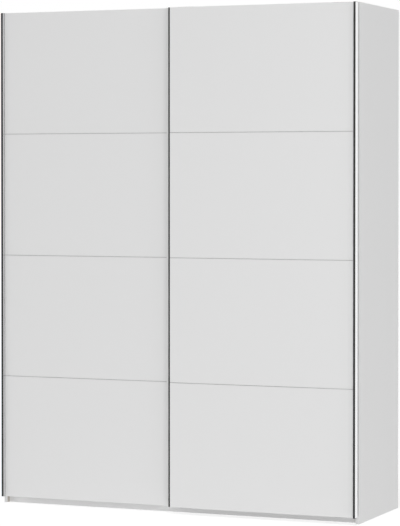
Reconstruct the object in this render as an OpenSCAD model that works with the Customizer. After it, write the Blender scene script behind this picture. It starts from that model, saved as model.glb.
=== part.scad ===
// Wardrobe with two top-hung sliding doors, in millimetres.
// X runs along the front to the right, Y runs to the back and Z runs up.
// The origin is on the floor, below the centre of the bounding box.

/* [Carcass] */

// Width over the two side panels
carcass_w = 1810; // [1400:10:2400]
// Top edge of the side panels
side_top_z = 2356; // [2000:1:2500]
// Y of the rear edges, where the wardrobe meets the wall
back_y = 310; // [250:1:350]
// Y of the left side panel's front edge
left_front_y = -241; // [-300:1:-180]
// How much further forward the right side panel reaches
right_step = 20; // [0:1:30]
// Thickness of every carcass board
board_t = 16; // [16:1:22]
// How far the floor glides stand out below the boards
glide_h = 0.5; // [0.5:0.5:8]
// Top of the plinth, where the bottom panel lies on it
plinth_top_z = 48; // [40:1:100]
// Y of the plinth's front face
plinth_front_y = -219; // [-230:1:-150]
// Top face of the top panel, below the side panels' top edge
tray_z = 2320; // [1960:1:2460]

/* [Back] */

// Thickness of the back panels
back_t = 3; // [2.5:0.5:8]
// Distance from the rear edges to the back panels
back_inset = 10; // [5:1:20]
// Depth of the grooves that hold the back panels
back_groove_d = 8; // [5:1:10]
// Play of a back panel in its groove, on each face
back_play = 0.1; // [0:0.05:0.5]

/* [Interior] */

// Top face of the hat shelves
shelf_z = 2016; // [1700:1:2200]
// Y of the front edge of the hat shelves and the partition
inner_front_y = -212; // [-225:1:-150]
// Height of the clothes rails' centre line
rail_z = 1940; // [1600:1:2150]
// Y of the clothes rails
rail_y = 15; // [-50:1:60]
// Outer radius of a clothes rail
rail_r = 12.5; // [10:0.5:16]
// Wall thickness of a clothes rail
rail_wall = 1.2; // [1:0.1:2]

/* [Doors] */

// Width of each door over its profiles
door_w = 922; // [700:1:1200]
// Distance from the outer edge of a door to the outer face of the side panel
door_inset = 2; // [0:1:10]
// Y of the rear door's front face
rear_face_y = -259; // [-280:0.5:-250]
// Distance between the front faces of the two doors
door_pitch_y = 35.5; // [34:0.5:45]
// Thickness of the door panels
panel_t = 16; // [12:1:19]
// Bottom edge of both doors
door_bottom_z = 33; // [25:1:60]
// Top edge of the front door
door_top_z = 2355; // [1990:1:2500]
// How much lower the rear door ends, so that the front door's arms cross it
rear_door_drop = 1; // [1:0.5:20]
// Number of panels one above the other
panel_count = 4; // [2:1:6]
// Width of the shadow joint between two panels
joint_w = 3; // [2:0.5:6]
// Depth of the shadow joint
joint_d = 2.5; // [1:0.5:5]

/* [Door profiles] */

// Width of the grip fin
grip_w = 10.5; // [8:0.5:20]
// How far the grip fin stands in front of the panels
grip_proud = 15.5; // [8:0.5:25]
// Wall thickness of the grip fin
grip_wall = 1.6; // [1.2:0.1:2.5]
// Width of the shadow groove between the fin and the panels
groove_w = 1.5; // [1.5:0.5:6]
// Depth of that groove behind the panels' front face
groove_d = 2; // [1:0.5:7]
// Width of the profile at a door's inner end
stile_w = 8; // [6:0.5:20]
// Length of the front door's dust lip, past its inner end
lip_len = 14.5; // [8:0.5:30]
// Thickness of the dust lip
lip_t = 2; // [1.2:0.1:3]
// Length of the tongues that hold a panel
tongue_len = 10; // [6:1:15]
// Thickness of the tongues
tongue_t = 3; // [2:0.5:4]
// Play of a tongue in its groove, on each face
tongue_play = 0.1; // [0:0.05:0.3]
// Height of the stiffening rails let into a door's back
stiffener_h = 60; // [30:1:100]
// Thickness of the stiffening rails
stiffener_t = 3; // [2:0.5:5]
// Thickness of the caps on the ends of a grip fin
end_cap_t = 1.5; // [1:0.5:3]
// Thickness of the rear door's dust brush
brush_t = 3; // [2:0.5:6]

/* [Running gear] */

// Radius of a wheel where it rolls on its ridge
roll_r = 12; // [10:0.5:20]
// Height of the wheel flanges beside the ridge
flange_h = 2; // [1:0.5:4]
// Width of a wheel
wheel_w = 8; // [6:0.5:12]
// Width of the running groove in a wheel
wheel_groove_w = 3.6; // [3:0.1:5]
// Radius of the wheel axles
axle_r = 3; // [2.5:0.5:5]
// Radial play of a wheel on its axle
axle_play = 0.05; // [0.01:0.01:0.1]
// Gap between a wheel and what stands next to it
wheel_gap = 0.3; // [0.3:0.1:1]
// Y of the rear door's ridge
rear_track_y = -224; // [-230:1:-200]
// Distance between the two ridges
track_pitch = 30; // [26:1:40]
// Thickness of a ridge
ridge_t = 2.6; // [2:0.1:3.4]
// Height of a ridge over the top panel
ridge_h = 6; // [4:0.5:10]
// Distance from a door's end to its wheel
hanger_inset = 80; // [60:1:200]
// Width of a hanger
hanger_w = 80; // [50:1:120]
// Thickness of the hanger plates
hanger_t = 2.5; // [2:0.5:4]
// Thickness of the arms that cross over the rear door
arm_t = 2; // [1.5:0.5:4]
// Air between the rear door's top edge and those arms
arm_gap = 0.5; // [0.5:0.5:5]
// Travel of each door
travel = 850; // [500:1:1000]

/* [Bottom guides] */

// Height of the guide channel's slots
guide_h = 12; // [8:1:20]
// Width of each slot
guide_slot_w = 7; // [5:0.5:10]
// Thickness of the walls of the guide channel
guide_wall = 1.5; // [1:0.5:3]
// Play of a guide shoe in its slot, on each side
guide_play = 0.5; // [0.3:0.1:1]
// Width of a guide bracket
guide_w = 60; // [30:1:100]

/* [Hidden] */

$fn = 96;
over = 1;

half_w = carcass_w / 2;
inner_x = half_w - board_t;
right_front_y = left_front_y - right_step;
top_under_z = tray_z - board_t;
floor_z = plinth_top_z + board_t;
top_front_y = rear_face_y + panel_t + hanger_t + 4.5;
half_t = board_t / 2;

back_front_y = back_y - back_inset - back_t;
back_rear_y = back_y - back_inset;
strip_t = 1;
back_grip = back_groove_d - 1;

shelf_under_z = shelf_z - board_t;
shelf_back_y = back_front_y - strip_t;
pin_r = 2.5;
pin_len = 8;
pin_out = 7;
pin_ys = [inner_front_y + 45, shelf_back_y - 45];
socket_r = 20;
socket_t = 3;
socket_lip = 8;

outer_x = half_w - door_inset;
rear_back_y = rear_face_y + panel_t;
front_face_y = rear_face_y - door_pitch_y;
front_back_y = front_face_y + panel_t;
rear_top_z = door_top_z - rear_door_drop;
pitch_z = (door_top_z - door_bottom_z) / panel_count;
panel_u0 = grip_w + groove_w;
panel_u1 = door_w - stile_w;
tongue_y = panel_t / 2;
grip_back = panel_t + 1;

wheel_z = tray_z + ridge_h + wheel_gap + roll_r;
front_track_y = rear_track_y + track_pitch;
flange_r = roll_r + flange_h;
hanger_us = [hanger_inset, door_w - hanger_inset];
plate_low_z = rear_top_z - stiffener_h;
arm_z = rear_top_z + arm_gap;
carrier_y = front_track_y - wheel_w / 2 - 5.5;
carrier_low_z = wheel_z - 12;
washer_r = 5.5;
cap_t = 2;
cap_r = 5;
stop_l = 25;
stop_h = 20;
stop_w = 12;
rail_base_t = 1.5;
rail_edge = 10;

channel_top_z = plinth_top_z + 2;
channel_roof_t = 1.5;
slot_top_z = channel_top_z - channel_roof_t;
slot_low_z = slot_top_z - guide_h;
channel_back_y = plinth_front_y;
slot2_y1 = channel_back_y - guide_wall;
slot2_y0 = slot2_y1 - guide_slot_w;
slot1_y1 = slot2_y0 - guide_wall;
slot1_y0 = slot1_y1 - guide_slot_w;
channel_front_y = slot1_y0 - guide_wall;
shoe_top_z = slot_top_z - 1.5;
rear_arm_t = 2;
front_arm_t = 2.5;
front_arm_z = door_bottom_z - 0.6 - front_arm_t;
guide_plate_h = 40;

bracket_x = 600;
bracket_w = 30;
bracket_t = 2;
bracket_len = 40;
bracket_top_z = tray_z + 30;
bracket_hole_r = 3;
bracket_hole_z = tray_z + 20;

glide_r = 6.5;
glide_sunk = 2;
glide_play = 0.1;
glide_pin_r = 1.5;
glide_pin_len = 10;
glide_ys = [-190, 50, 280];
screw_r = 1.75;
screw_head_r = 3.5;
screw_head_t = 1.2;
screw_len = 11;
screw_play = 0.05;
hanger_screw_du = 28;
hanger_screw_dzs = [14, 44];
guide_screw_du = 20;
guide_screw_dz = 28;
rail_screw_xs = [-750 : 250 : 750];
rail_screw_y = rear_track_y + track_pitch / 2;
bracket_screw_y = back_y - 30;
cam_r = 7.5;
cam_h = 12;
cam_inset = 34;
cam_ys = [-150, 50, 240];

white = [0.93, 0.93, 0.93];
linen = [0.66, 0.62, 0.56];
alu = [0.75, 0.76, 0.77];
steel = [0.62, 0.63, 0.65];
nylon = [0.85, 0.85, 0.83];
dark = [0.18, 0.18, 0.19];

// ---------------------------------------------------------------- helpers

// A block between two corners.
module block(low, high) {
  translate(low)
    cube(high - low);
}

// A cylinder along Y from y0 to y1.
module rod_y(x, z, y0, y1, r) {
  translate([x, y0, z])
    rotate([-90, 0, 0])
      cylinder(h = y1 - y0, r = r);
}

// A cylinder along X from x0 to x1.
module rod_x(y, z, x0, x1, r) {
  translate([x0, y, z])
    rotate([0, 90, 0])
      cylinder(h = x1 - x0, r = r);
}

// A cylinder along Z from z0 to z1.
module rod_z(x, y, z0, z1, r) {
  translate([x, y, z0])
    cylinder(h = z1 - z0, r = r);
}

// Its children, and their mirror image in the plane X = 0.
module both_sides() {
  children();
  mirror([1, 0, 0])
    children();
}

// A flat-headed screw along Z, with its head's top at z1.
module screw_z(x, y, z1) {
  rod_z(x, y, z1 - screw_len, z1, screw_r);
  rod_z(x, y, z1 - screw_head_t, z1, screw_head_r);
}

// The stepped bore of such a screw.
module screw_bore_z(x, y, z1) {
  rod_z(x, y, z1 - screw_len, z1 + over, screw_r + screw_play);
  rod_z(x, y, z1 - screw_head_t, z1 + over, screw_head_r + screw_play);
}

// ---------------------------------------------------------------- carcass

// One side panel on the +X side, with the groove for the back panel.
module side_board(front_y) {
  difference() {
    block([inner_x, front_y, glide_h], [half_w, back_y, side_top_z]);
    block([inner_x - over, back_front_y - back_play, plinth_top_z + board_t - back_groove_d],
          [inner_x + back_groove_d, back_rear_y + back_play, top_under_z + back_groove_d]);
    for (y = pin_ys)
      rod_x(y, shelf_under_z - pin_r, inner_x - over, inner_x + pin_len, pin_r);
    for (y = glide_ys) {
      rod_z(half_w - half_t, y, glide_h - over, glide_h + glide_sunk, glide_r + glide_play);
      rod_z(half_w - half_t, y, glide_h - over, glide_h + glide_pin_len, glide_pin_r);
    }
  }
}

module side_panel_left() {
  color(white)
    mirror([1, 0, 0])
      side_board(left_front_y);
}

module side_panel_right() {
  color(white)
    side_board(right_front_y);
}

// The standing board between the two bays.
module centre_partition() {
  color(linen)
    difference() {
      block([-half_t, inner_front_y, floor_z], [half_t, back_front_y - strip_t, top_under_z]);
      for (y = pin_ys)
        rod_x(y, shelf_under_z - pin_r, -half_t - over, half_t + over, pin_r);
    }
}

// A lying board with a groove for the back panels on one face.
module lying_board(front_y, z0, groove_z0, groove_z1, cam_z0, cam_z1) {
  difference() {
    block([-inner_x, front_y, z0], [inner_x, back_y, z0 + board_t]);
    block([-inner_x - over, back_front_y - back_play, groove_z0],
          [inner_x + over, back_rear_y + back_play, groove_z1]);
    both_sides()
      for (y = cam_ys)
        rod_z(inner_x - cam_inset, y, cam_z0, cam_z1, cam_r);
  }
}

// The bores of the screws that hold the running rail and the wall brackets.
module tray_screw_bores() {
  for (x = rail_screw_xs)
    screw_bore_z(x, rail_screw_y, tray_z + rail_base_t);
  both_sides()
    screw_bore_z(bracket_x, bracket_screw_y, tray_z + bracket_t);
}

module top_panel() {
  color(linen)
    difference() {
      lying_board(top_front_y, top_under_z, top_under_z - over, top_under_z + back_groove_d,
                  tray_z - cam_h, tray_z + over);
      tray_screw_bores();
    }
}

module bottom_panel() {
  color(linen)
    lying_board(plinth_front_y, plinth_top_z, floor_z - back_groove_d, floor_z + over,
                plinth_top_z - over, plinth_top_z + cam_h);
}

// A plinth board with its front face at y0.
module plinth_board(y0) {
  block([-inner_x, y0, glide_h], [inner_x, y0 + board_t, plinth_top_z]);
}

module plinth_front() {
  color(white)
    plinth_board(plinth_front_y);
}

module plinth_rear() {
  color(white)
    plinth_board(back_y - back_inset - board_t);
}

// The back panel of the bay on the +X side.
module back_board() {
  block([strip_t, back_front_y, floor_z - back_grip],
        [inner_x + back_grip, back_rear_y, top_under_z + back_grip]);
}

module back_panel_left() {
  color(linen)
    mirror([1, 0, 0])
      back_board();
}

module back_panel_right() {
  color(linen)
    back_board();
}

// The strip of H section that joins the two back panels.
module back_joint_strip() {
  color(white)
    union() {
      block([-strip_t, back_front_y - strip_t, floor_z],
            [strip_t, back_rear_y + strip_t, top_under_z]);
      block([-9, back_front_y - strip_t, floor_z], [9, back_front_y, top_under_z]);
      block([-9, back_rear_y, floor_z], [9, back_rear_y + strip_t, top_under_z]);
    }
}

// The hat shelf of the bay on the +X side.
module shelf_board() {
  block([half_t, inner_front_y, shelf_under_z], [inner_x, shelf_back_y, shelf_z]);
}

module hat_shelf_left() {
  color(linen)
    mirror([1, 0, 0])
      shelf_board();
}

module hat_shelf_right() {
  color(linen)
    shelf_board();
}

// The clothes rail of the bay on the +X side, a round tube.
module clothes_tube() {
  difference() {
    rod_x(rail_y, rail_z, half_t + socket_t, inner_x - socket_t, rail_r);
    rod_x(rail_y, rail_z, half_t, inner_x, rail_r - rail_wall);
  }
}

module clothes_rail_left() {
  color(steel)
    mirror([1, 0, 0])
      clothes_tube();
}

module clothes_rail_right() {
  color(steel)
    clothes_tube();
}

// A rail socket: a flange on the board and a collar round the tube's end.
module rail_socket(x0, dir) {
  x_flange = x0 + dir * socket_t;
  x_collar = x_flange + dir * socket_lip;
  rod_x(rail_y, rail_z, min(x0, x_flange), max(x0, x_flange), socket_r);
  difference() {
    rod_x(rail_y, rail_z, min(x_flange, x_collar), max(x_flange, x_collar), rail_r + 2);
    rod_x(rail_y, rail_z, min(x_flange, x_collar) - over, max(x_flange, x_collar) + over, rail_r);
  }
}

module rail_sockets() {
  color(steel)
    both_sides() {
      rail_socket(half_t, 1);
      rail_socket(inner_x, -1);
    }
}

module shelf_pins() {
  color(steel) {
    both_sides()
      for (y = pin_ys)
        rod_x(y, shelf_under_z - pin_r, inner_x - pin_out, inner_x + pin_len, pin_r);
    for (y = pin_ys)
      rod_x(y, shelf_under_z - pin_r, -half_t - pin_out, half_t + pin_out, pin_r);
  }
}

// The aluminium rail with one ridge for each door.
module running_rail() {
  color(alu)
    difference() {
      union() {
        block([-inner_x, rear_track_y - rail_edge, tray_z],
              [inner_x, front_track_y + rail_edge, tray_z + rail_base_t]);
        for (y = [rear_track_y, front_track_y])
          block([-inner_x, y - ridge_t / 2, tray_z],
                [inner_x, y + ridge_t / 2, tray_z + ridge_h]);
      }
      tray_screw_bores();
    }
}

// A stop that straddles the ridge at y, with its striking face at x.
module end_stop(x, dir, y) {
  x_far = x + dir * stop_l;
  difference() {
    block([min(x, x_far), y - stop_w / 2, tray_z + rail_base_t],
          [max(x, x_far), y + stop_w / 2, tray_z + rail_base_t + stop_h]);
    block([min(x, x_far) - over, y - ridge_t / 2, tray_z],
          [max(x, x_far) + over, y + ridge_t / 2, tray_z + ridge_h]);
  }
}

module end_stops() {
  reach = flange_r + 0.5;
  color(dark) {
    end_stop(-outer_x + hanger_us[0] - reach, -1, rear_track_y);
    end_stop(-outer_x + hanger_us[1] + travel + reach, 1, rear_track_y);
    end_stop(outer_x - hanger_us[0] + reach, 1, front_track_y);
    end_stop(outer_x - hanger_us[1] - travel - reach, -1, front_track_y);
  }
}

// The two-slot channel under the front edge of the bottom panel, open below.
module guide_channel() {
  color(alu)
    union() {
      block([-inner_x, channel_front_y, slot_top_z],
            [inner_x, channel_back_y, channel_top_z]);
      for (y = [channel_front_y, slot1_y1, slot2_y1])
        block([-inner_x, y, slot_low_z], [inner_x, y + guide_wall, slot_top_z + over]);
    }
}

module cam_fittings() {
  color(steel)
    both_sides()
      for (y = cam_ys) {
        rod_z(inner_x - cam_inset, y, tray_z - cam_h, tray_z, cam_r);
        rod_z(inner_x - cam_inset, y, plinth_top_z, plinth_top_z + cam_h, cam_r);
      }
}

module floor_glides() {
  color(nylon)
    both_sides()
      for (y = glide_ys) {
        rod_z(half_w - half_t, y, 0, glide_h + glide_sunk, glide_r);
        rod_z(half_w - half_t, y, glide_h, glide_h + glide_pin_len, glide_pin_r);
      }
}

// The two angle brackets that tie the wardrobe to the wall.
module wall_brackets() {
  color(steel)
    both_sides()
      difference() {
        union() {
          block([bracket_x - bracket_w / 2, back_y - bracket_len, tray_z],
                [bracket_x + bracket_w / 2, back_y, tray_z + bracket_t]);
          block([bracket_x - bracket_w / 2, back_y - bracket_t, tray_z],
                [bracket_x + bracket_w / 2, back_y, bracket_top_z]);
        }
        rod_y(bracket_x, bracket_hole_z, back_y - bracket_t - over, back_y + over,
              bracket_hole_r);
        screw_bore_z(bracket_x, bracket_screw_y, tray_z + bracket_t);
      }
}

// The screws that hold the running rail and the wall brackets to the top panel.
module carcass_screws() {
  color(steel) {
    for (x = rail_screw_xs)
      screw_z(x, rail_screw_y, tray_z + rail_base_t);
    both_sides()
      screw_z(bracket_x, bracket_screw_y, tray_z + bracket_t);
  }
}

// ---------------------------------------------------------------- doors
// A door is drawn from its grip end, which is u = 0, with its front face at v = 0.
// The rear door's grip is on the left, and the front door is the mirror image.

module at_rear() {
  translate([-outer_x, rear_face_y, 0])
    children();
}

module at_front() {
  mirror([1, 0, 0])
    translate([-outer_x, front_face_y, 0])
      children();
}

// A door's screws as [u, z, thickness of the fitting]: the hangers', then the guides'.
function door_screw_spots(guide_t) = concat(
  [for (u = hanger_us, du = [-hanger_screw_du, hanger_screw_du], dz = hanger_screw_dzs)
    [u + du, plate_low_z + dz, hanger_t]],
  [for (u = hanger_us, du = [-guide_screw_du, guide_screw_du])
    [u + du, door_bottom_z + guide_screw_dz, guide_t]]);

// Flat-headed screws, flush with the fittings on a door's back.
module door_screws(guide_t) {
  for (s = door_screw_spots(guide_t)) {
    v1 = panel_t + s[2];
    rod_y(s[0], s[1], v1 - screw_len, v1, screw_r);
    rod_y(s[0], s[1], v1 - screw_head_t, v1, screw_head_r);
  }
}

// The stepped bores of those screws.
module door_screw_bores(guide_t) {
  for (s = door_screw_spots(guide_t)) {
    v1 = panel_t + s[2];
    rod_y(s[0], s[1], v1 - screw_len, v1 + over, screw_r + screw_play);
    rod_y(s[0], s[1], v1 - screw_head_t, v1 + over, screw_head_r + screw_play);
  }
}

// The strip of a door's grooves: the space of all tongues plus their play.
module tongue_grooves(z0, z1) {
  v0 = tongue_y - tongue_t / 2 - tongue_play;
  v1 = tongue_y + tongue_t / 2 + tongue_play;
  reach = tongue_len + 0.5;
  for (u = [panel_u0 - over, panel_u1 - reach])
    block([u, v0, z0 - over], [u + reach + over, v1, z1 + over]);
  for (z = [z0 - over, z1 - reach])
    block([panel_u0 - over, v0, z], [panel_u1 + over, v1, z + reach + over]);
}

function panel_low(i) = door_bottom_z + i * pitch_z + (i > 0 ? joint_w / 2 : 0);
function panel_high(i, top) =
  i == panel_count - 1 ? top : door_bottom_z + (i + 1) * pitch_z - joint_w / 2;

// Panel number i, counted from the bottom.
module door_panel(i, top, guide_t) {
  z0 = panel_low(i);
  z1 = panel_high(i, top);
  difference() {
    block([panel_u0, 0, z0], [panel_u1, panel_t, z1]);
    tongue_grooves(z0, z1);
    if (i == 0)
      block([panel_u0 - over, panel_t - stiffener_t, z0 - over],
            [panel_u1 + over, panel_t + over, z0 + stiffener_h]);
    if (i == panel_count - 1)
      block([panel_u0 - over, panel_t - stiffener_t, z1 - stiffener_h],
            [panel_u1 + over, panel_t + over, z1 + over]);
    if (i == 0 || i == panel_count - 1)
      door_screw_bores(guide_t);
  }
}

// The grip profile: a hollow fin, the floor of the shadow groove and a tongue.
module door_grip(top) {
  v0 = tongue_y - tongue_t / 2;
  z0 = door_bottom_z + end_cap_t;
  z1 = top - end_cap_t;
  difference() {
    union() {
      block([0, -grip_proud, z0], [grip_w, grip_back, z1]);
      block([grip_w - over, groove_d, z0], [panel_u0, grip_back, z1]);
      block([grip_w - over, v0, z0], [panel_u0 + tongue_len, v0 + tongue_t, z1]);
    }
    fin_hollows(z0 - over, z1 + over, 0);
  }
}

// The two hollows of the fin, made smaller by a margin.
module fin_hollows(z0, z1, margin) {
  v0 = tongue_y - tongue_t / 2;
  u0 = grip_wall + margin;
  u1 = grip_w - grip_wall - margin;
  block([u0, grip_wall - grip_proud + margin, z0], [u1, v0 - margin, z1]);
  block([u0, v0 + tongue_t + margin, z0], [u1, grip_back - grip_wall - margin, z1]);
}

// The plastic caps that close the fin at its two ends, each with two plugs.
module door_end_caps(top) {
  plug = 8;
  margin = 0.1;
  block([0, -grip_proud, door_bottom_z], [grip_w, grip_back, door_bottom_z + end_cap_t]);
  fin_hollows(door_bottom_z + end_cap_t / 2, door_bottom_z + end_cap_t + plug, margin);
  block([0, -grip_proud, top - end_cap_t], [grip_w, grip_back, top]);
  fin_hollows(top - end_cap_t - plug, top - end_cap_t / 2, margin);
}

// The profile at the inner end, a channel with a tongue.
module door_stile(top) {
  v0 = tongue_y - tongue_t / 2;
  difference() {
    block([panel_u1, 0, door_bottom_z], [door_w, panel_t, top]);
    block([panel_u1 - over, grip_wall, door_bottom_z - over],
          [door_w - grip_wall, v0, top + over]);
    block([panel_u1 - over, v0 + tongue_t, door_bottom_z - over],
          [door_w - grip_wall, panel_t - grip_wall, top + over]);
  }
  block([panel_u1 - tongue_len, v0, door_bottom_z], [panel_u1 + over, v0 + tongue_t, top]);
}

// The cross-shaped strips between the panels.
module door_joint_strips() {
  v0 = tongue_y - tongue_t / 2;
  u0 = panel_u0 + tongue_len + 1;
  u1 = panel_u1 - tongue_len - 1;
  for (i = [1 : panel_count - 1]) {
    z = door_bottom_z + i * pitch_z;
    block([panel_u0, joint_d, z - joint_w / 2], [panel_u1, v0, z + joint_w / 2]);
    block([panel_u0, v0 + tongue_t, z - joint_w / 2], [panel_u1, panel_t, z + joint_w / 2]);
    block([u0, v0, z - tongue_len], [u1, v0 + tongue_t, z + tongue_len]);
  }
}

// A stiffening rail, flush with the back of the panels.
module door_stiffener(z0, guide_t) {
  difference() {
    block([panel_u0, panel_t - stiffener_t, z0], [panel_u1, panel_t, z0 + stiffener_h]);
    door_screw_bores(guide_t);
  }
}

// A wheel stub on a plate, which starts at y0: spacer, axle and cap.
module wheel_stub(x, y0, track_y) {
  wheel_y0 = track_y - wheel_w / 2;
  wheel_y1 = track_y + wheel_w / 2;
  rod_y(x, wheel_z, y0, wheel_y0 - wheel_gap, washer_r);
  rod_y(x, wheel_z, y0, wheel_y1 + wheel_gap + cap_t, axle_r);
  rod_y(x, wheel_z, wheel_y1 + wheel_gap, wheel_y1 + wheel_gap + cap_t, cap_r);
}

// A grooved wheel with a running bore and five lightening holes.
module wheel(x, track_y) {
  hole_ring_r = 7.6;
  color(nylon)
    translate([x, track_y, wheel_z])
      rotate([-90, 0, 0])
        difference() {
          translate([0, 0, -wheel_w / 2])
            cylinder(h = wheel_w, r = flange_r);
          translate([0, 0, -wheel_w / 2 - over])
            cylinder(h = wheel_w + 2 * over, r = axle_r + axle_play);
          rotate_extrude()
            translate([roll_r, -wheel_groove_w / 2])
              square([flange_h + over, wheel_groove_w]);
          for (a = [0 : 72 : 288])
            rotate([0, 0, a])
              translate([hole_ring_r, 0, -wheel_w / 2 - over])
                cylinder(h = wheel_w + 2 * over, r = 1.8);
        }
}

// ---------------------------------------------------------------- rear door

module rear_door_panel_1() {
  color(white)
    at_rear()
      door_panel(0, rear_top_z, rear_arm_t);
}

module rear_door_panel_2() {
  color(white)
    at_rear()
      door_panel(1, rear_top_z, rear_arm_t);
}

module rear_door_panel_3() {
  color(white)
    at_rear()
      door_panel(2, rear_top_z, rear_arm_t);
}

module rear_door_panel_4() {
  color(white)
    at_rear()
      door_panel(3, rear_top_z, rear_arm_t);
}

module rear_door_grip() {
  color(alu)
    at_rear()
      door_grip(rear_top_z);
}

module rear_door_end_caps() {
  color(dark)
    at_rear()
      door_end_caps(rear_top_z);
}

module rear_door_stile() {
  color(alu)
    at_rear()
      door_stile(rear_top_z);
}

module rear_door_joint_strips() {
  color(dark)
    at_rear()
      door_joint_strips();
}

module rear_door_top_rail() {
  color(alu)
    at_rear()
      door_stiffener(rear_top_z - stiffener_h, rear_arm_t);
}

module rear_door_bottom_rail() {
  color(alu)
    at_rear()
      door_stiffener(door_bottom_z, rear_arm_t);
}

// Flat plates on the door's back that carry the wheel stubs.
module rear_door_hangers() {
  color(steel)
    difference() {
      for (u = hanger_us) {
        x = -outer_x + u;
        block([x - hanger_w / 2, rear_back_y, plate_low_z],
              [x + hanger_w / 2, rear_back_y + hanger_t, wheel_z + flange_r]);
        wheel_stub(x, rear_back_y + hanger_t - 0.5, rear_track_y);
      }
      at_rear()
        door_screw_bores(rear_arm_t);
    }
}

// Plates with a foot and a blade that runs in the channel's front slot.
module rear_door_guides() {
  blade_y0 = slot1_y0 + guide_play;
  blade_y1 = slot1_y1 - guide_play;
  color(nylon)
    difference() {
      for (u = hanger_us) {
        x = -outer_x + u;
        block([x - guide_w / 2, rear_back_y, door_bottom_z],
              [x + guide_w / 2, rear_back_y + rear_arm_t, door_bottom_z + guide_plate_h]);
        block([x - guide_w / 2, rear_back_y, door_bottom_z],
              [x + guide_w / 2, blade_y1, door_bottom_z + rear_arm_t]);
        block([x - guide_w / 2, blade_y0, door_bottom_z],
              [x + guide_w / 2, blade_y1, shoe_top_z]);
      }
      at_rear()
        door_screw_bores(rear_arm_t);
    }
}

module rear_door_screws() {
  color(steel)
    at_rear()
      door_screws(rear_arm_t);
}

// The brush on the rear door's inner profile closes the gap between the doors.
module rear_door_brush() {
  x = -outer_x + door_w - stile_w / 2;
  color(dark)
    block([x - brush_t / 2, front_back_y + hanger_t + 0.5, door_bottom_z + 10],
          [x + brush_t / 2, rear_face_y, plate_low_z - 10]);
}

module rear_wheel_left() {
  wheel(-outer_x + hanger_us[0], rear_track_y);
}

module rear_wheel_right() {
  wheel(-outer_x + hanger_us[1], rear_track_y);
}

// ---------------------------------------------------------------- front door

module front_door_panel_1() {
  color(white)
    at_front()
      door_panel(0, door_top_z, hanger_t);
}

module front_door_panel_2() {
  color(white)
    at_front()
      door_panel(1, door_top_z, hanger_t);
}

module front_door_panel_3() {
  color(white)
    at_front()
      door_panel(2, door_top_z, hanger_t);
}

module front_door_panel_4() {
  color(white)
    at_front()
      door_panel(3, door_top_z, hanger_t);
}

module front_door_grip() {
  color(alu)
    at_front()
      door_grip(door_top_z);
}

module front_door_end_caps() {
  color(dark)
    at_front()
      door_end_caps(door_top_z);
}

// The inner profile of the front door, with its dust lip.
module front_door_stile() {
  color(alu)
    at_front() {
      door_stile(door_top_z);
      block([door_w - over, panel_t - lip_t, door_bottom_z],
            [door_w + lip_len, panel_t, door_top_z]);
    }
}

module front_door_joint_strips() {
  color(dark)
    at_front()
      door_joint_strips();
}

module front_door_top_rail() {
  color(alu)
    at_front()
      door_stiffener(door_top_z - stiffener_h, hanger_t);
}

module front_door_bottom_rail() {
  color(alu)
    at_front()
      door_stiffener(door_bottom_z, hanger_t);
}

// Upright plates on the front door's back, up to the arms.
module front_door_hanger_plates() {
  color(steel)
    difference() {
      for (u = hanger_us) {
        x = outer_x - u;
        block([x - hanger_w / 2, front_back_y, plate_low_z],
              [x + hanger_w / 2, front_back_y + hanger_t, arm_z]);
      }
      at_front()
        door_screw_bores(hanger_t);
    }
}

// Arms that cross over the rear door's top edge.
module front_door_hanger_arms() {
  color(steel)
    for (u = hanger_us) {
      x = outer_x - u;
      block([x - hanger_w / 2, front_back_y, arm_z],
            [x + hanger_w / 2, carrier_y + hanger_t, arm_z + arm_t]);
    }
}

// Plates that hang from the arms and carry the wheel stubs.
module front_door_wheel_carriers() {
  color(steel)
    for (u = hanger_us) {
      x = outer_x - u;
      block([x - hanger_w / 2, carrier_y, carrier_low_z],
            [x + hanger_w / 2, carrier_y + hanger_t, arm_z]);
      wheel_stub(x, carrier_y + hanger_t - 0.5, front_track_y);
    }
}

module front_door_guide_plates() {
  color(steel)
    difference() {
      for (u = hanger_us) {
        x = outer_x - u;
        block([x - guide_w / 2, front_back_y, front_arm_z + front_arm_t],
              [x + guide_w / 2, front_back_y + hanger_t, door_bottom_z + guide_plate_h]);
      }
      at_front()
        door_screw_bores(hanger_t);
    }
}

// Flat arms that pass under the rear door.
module front_door_guide_arms() {
  color(steel)
    for (u = hanger_us) {
      x = outer_x - u;
      block([x - guide_w / 2, front_back_y, front_arm_z],
            [x + guide_w / 2, slot2_y1 - guide_play, front_arm_z + front_arm_t]);
    }
}

module front_door_guide_shoes() {
  color(nylon)
    for (u = hanger_us) {
      x = outer_x - u;
      block([x - guide_w / 2, slot2_y0 + guide_play, front_arm_z + front_arm_t],
            [x + guide_w / 2, slot2_y1 - guide_play, shoe_top_z]);
    }
}

module front_door_screws() {
  color(steel)
    at_front()
      door_screws(hanger_t);
}

module front_wheel_left() {
  wheel(outer_x - hanger_us[1], front_track_y);
}

module front_wheel_right() {
  wheel(outer_x - hanger_us[0], front_track_y);
}

// ---------------------------------------------------------------- assembly

side_panel_left();
side_panel_right();
centre_partition();
top_panel();
bottom_panel();
plinth_front();
plinth_rear();
back_panel_left();
back_panel_right();
back_joint_strip();
hat_shelf_left();
hat_shelf_right();
clothes_rail_left();
clothes_rail_right();
rail_sockets();
shelf_pins();
running_rail();
end_stops();
guide_channel();
cam_fittings();
floor_glides();
wall_brackets();
carcass_screws();
rear_door_panel_1();
rear_door_panel_2();
rear_door_panel_3();
rear_door_panel_4();
rear_door_grip();
rear_door_end_caps();
rear_door_stile();
rear_door_joint_strips();
rear_door_top_rail();
rear_door_bottom_rail();
rear_door_hangers();
rear_door_guides();
rear_door_screws();
rear_door_brush();
rear_wheel_left();
rear_wheel_right();
front_door_panel_1();
front_door_panel_2();
front_door_panel_3();
front_door_panel_4();
front_door_grip();
front_door_end_caps();
front_door_stile();
front_door_joint_strips();
front_door_top_rail();
front_door_bottom_rail();
front_door_hanger_plates();
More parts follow.
